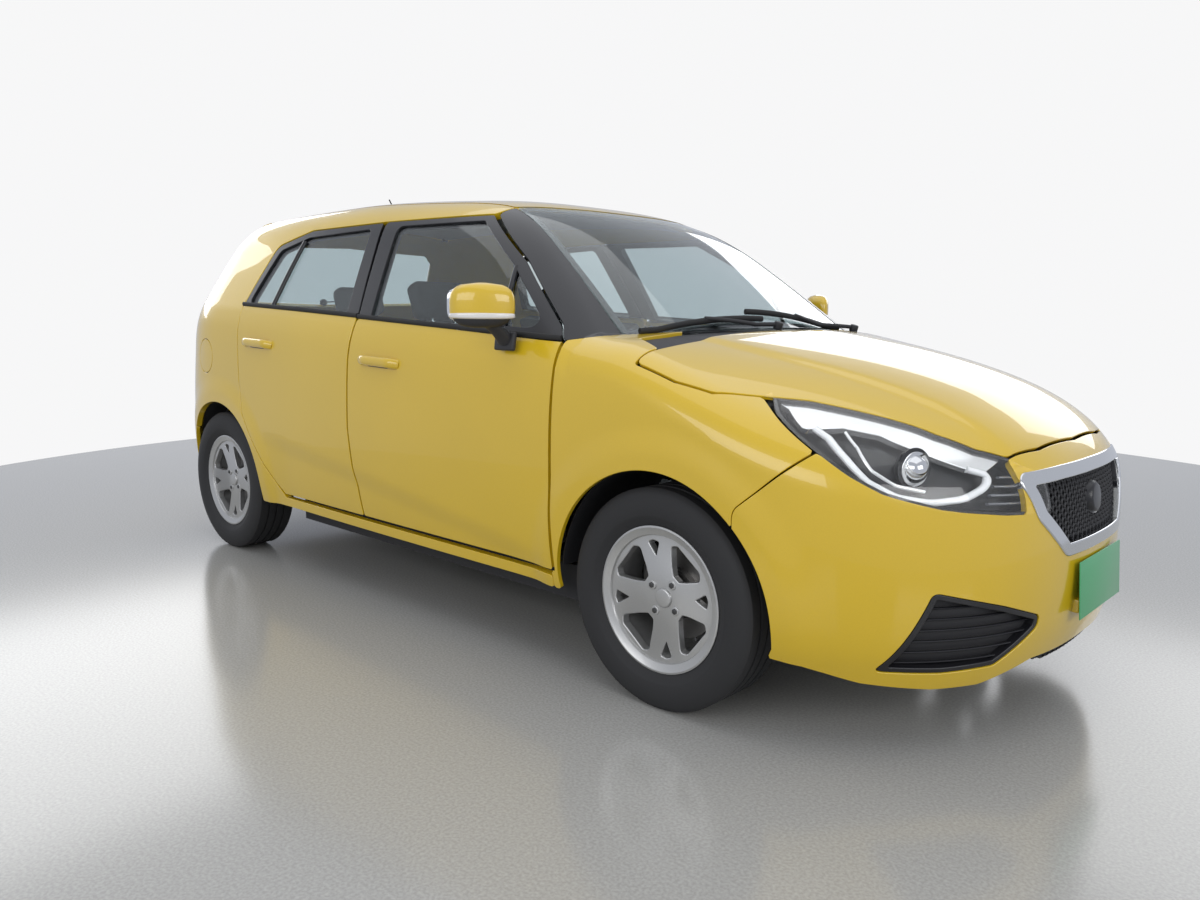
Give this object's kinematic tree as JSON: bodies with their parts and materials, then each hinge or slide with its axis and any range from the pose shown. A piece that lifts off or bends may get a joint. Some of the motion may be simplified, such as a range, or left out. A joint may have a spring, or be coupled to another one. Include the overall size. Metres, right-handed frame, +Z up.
{
  "type": "five-door hatchback car",
  "caption": "Small five-door hatchback car with opening doors, hood and tailgate, steered front wheels and a furnished cabin, standing on its wheels.",
  "frame": {"origin": "on the ground under the middle of the car's bounding box", "axes": "+X forward, +Y to the car's left, +Z up"},
  "size_m": [4.049, 2.0026, 1.6043],
  "materials": {
    "body_paint": "gloss solid yellow",
    "chassis_steel": "satin black underbody coating",
    "black_plastic": "fine grained, matt",
    "mirror_housing": "gloss yellow over black",
    "headlamp_lens": "clear",
    "tail_lamp_lens": "clear red",
    "window_glass": "lightly tinted",
    "seat_fabric": "woven, matt",
    "engine_iron": "as cast",
    "exhaust_steel": "aluminised, heat stained",
    "tyre_rubber": "matt black",
    "wheel_alloy": "silver lacquered"
  },
  "bodies": {
    "root": {"side_frame_left": "body_paint", "side_frame_right": "body_paint", "roof_panel": "body_paint", "floor_pan": "chassis_steel", "engine_bay": "chassis_steel", "hinges": "chassis_steel", "front_fenders": "body_paint", "front_bumper": "body_paint", "rear_bumper": "body_paint", "grilles": "black_plastic", "headlamps": "headlamp_lens", "tail_lamps": "tail_lamp_lens", "windscreen": "window_glass", "cowl_and_wipers": "black_plastic", "dashboard": "black_plastic", "front_seats": "seat_fabric", "rear_seat": "seat_fabric", "engine_block": "engine_iron", "front_subframe": "chassis_steel", "rear_axle_beam": "chassis_steel", "exhaust": "exhaust_steel", "fuel_tank": "black_plastic", "antenna": "black_plastic"},
    "hood": {"hood": "body_paint"},
    "tailgate": {"tailgate": "body_paint", "tailgate_glass": "window_glass"},
    "fuel_flap": {"fuel_flap": "body_paint"},
    "steering_wheel": {"steering_wheel": "black_plastic"},
    "front_door_left": {"front_door_left": "body_paint", "front_window_left": "window_glass", "door_mirror_left": "mirror_housing"},
    "rear_door_left": {"rear_door_left": "body_paint", "rear_window_left": "window_glass"},
    "knuckle_left": {"knuckle_left": "chassis_steel"},
    "front_door_right": {"front_door_right": "body_paint", "front_window_right": "window_glass", "door_mirror_right": "mirror_housing"},
    "rear_door_right": {"rear_door_right": "body_paint", "rear_window_right": "window_glass"},
    "knuckle_right": {"knuckle_right": "chassis_steel"},
    "wheel_front_left": {"tyre_front_left": "tyre_rubber", "wheel_front_left": "wheel_alloy"},
    "wheel_front_right": {"tyre_front_right": "tyre_rubber", "wheel_front_right": "wheel_alloy"},
    "wheel_rear_left": {"tyre_rear_left": "tyre_rubber", "wheel_rear_left": "wheel_alloy"},
    "wheel_rear_right": {"tyre_rear_right": "tyre_rubber", "wheel_rear_right": "wheel_alloy"}
  },
  "joints": [
    {"name": "front_door_left_hinge", "type": "hinge", "parent": "root", "child": "front_door_left", "pos_m": [0.763, 0.842, 0.6], "axis": [0, 0, -1], "range_deg": [0, 68]},
    {"name": "rear_door_left_hinge", "type": "hinge", "parent": "root", "child": "rear_door_left", "pos_m": [-0.313, 0.842, 0.6], "axis": [0, 0, -1], "range_deg": [0, 70]},
    {"name": "front_door_right_hinge", "type": "hinge", "parent": "root", "child": "front_door_right", "pos_m": [0.763, -0.842, 0.6], "axis": [0, 0, 1], "range_deg": [0, 68]},
    {"name": "rear_door_right_hinge", "type": "hinge", "parent": "root", "child": "rear_door_right", "pos_m": [-0.313, -0.842, 0.6], "axis": [0, 0, 1], "range_deg": [0, 70]},
    {"name": "hood_hinge", "type": "hinge", "parent": "root", "child": "hood", "pos_m": [1.078, 0, 0.96], "axis": [0, -1, 0], "range_deg": [0, 50]},
    {"name": "tailgate_hinge", "type": "hinge", "parent": "root", "child": "tailgate", "pos_m": [-1.35, 0, 1.437], "axis": [0, 1, 0], "range_deg": [0, 78]},
    {"name": "fuel_flap_hinge", "type": "hinge", "parent": "root", "child": "fuel_flap", "pos_m": [-1.421, -0.83736, 0.862], "axis": [0, 0.0374, 0.9993], "range_deg": [0, 80]},
    {"name": "steer_left", "type": "hinge", "parent": "root", "child": "knuckle_left", "pos_m": [1.1675, 0.676, 0.19], "axis": [0, -0.1682, 0.9858], "range_deg": [-34, 34]},
    {"name": "steer_right", "type": "hinge", "parent": "root", "child": "knuckle_right", "pos_m": [1.1675, -0.676, 0.19], "axis": [0, 0.1682, 0.9858], "range_deg": [-34, 34]},
    {"name": "steering_wheel_turn", "type": "hinge", "parent": "root", "child": "steering_wheel", "pos_m": [0.44, 0.36, 0.87], "axis": [-0.9063, 0, 0.4226], "range_deg": [-510, 510]},
    {"name": "spin_front_left", "type": "hinge", "parent": "knuckle_left", "child": "wheel_front_left", "pos_m": [1.1675, 0.74, 0.306], "axis": [0, 1, 0], "continuous": true},
    {"name": "spin_front_right", "type": "hinge", "parent": "knuckle_right", "child": "wheel_front_right", "pos_m": [1.1675, -0.74, 0.306], "axis": [0, 1, 0], "continuous": true},
    {"name": "spin_rear_left", "type": "hinge", "parent": "root", "child": "wheel_rear_left", "pos_m": [-1.3525, 0.74, 0.306], "axis": [0, 1, 0], "continuous": true},
    {"name": "spin_rear_right", "type": "hinge", "parent": "root", "child": "wheel_rear_right", "pos_m": [-1.3525, -0.74, 0.306], "axis": [0, 1, 0], "continuous": true}
  ],
  "couplings": [
    {"joint": "steer_right", "follows": "steer_left", "ratio": 1},
    {"joint": "steering_wheel_turn", "follows": "steer_left", "ratio": 15}
  ]
}
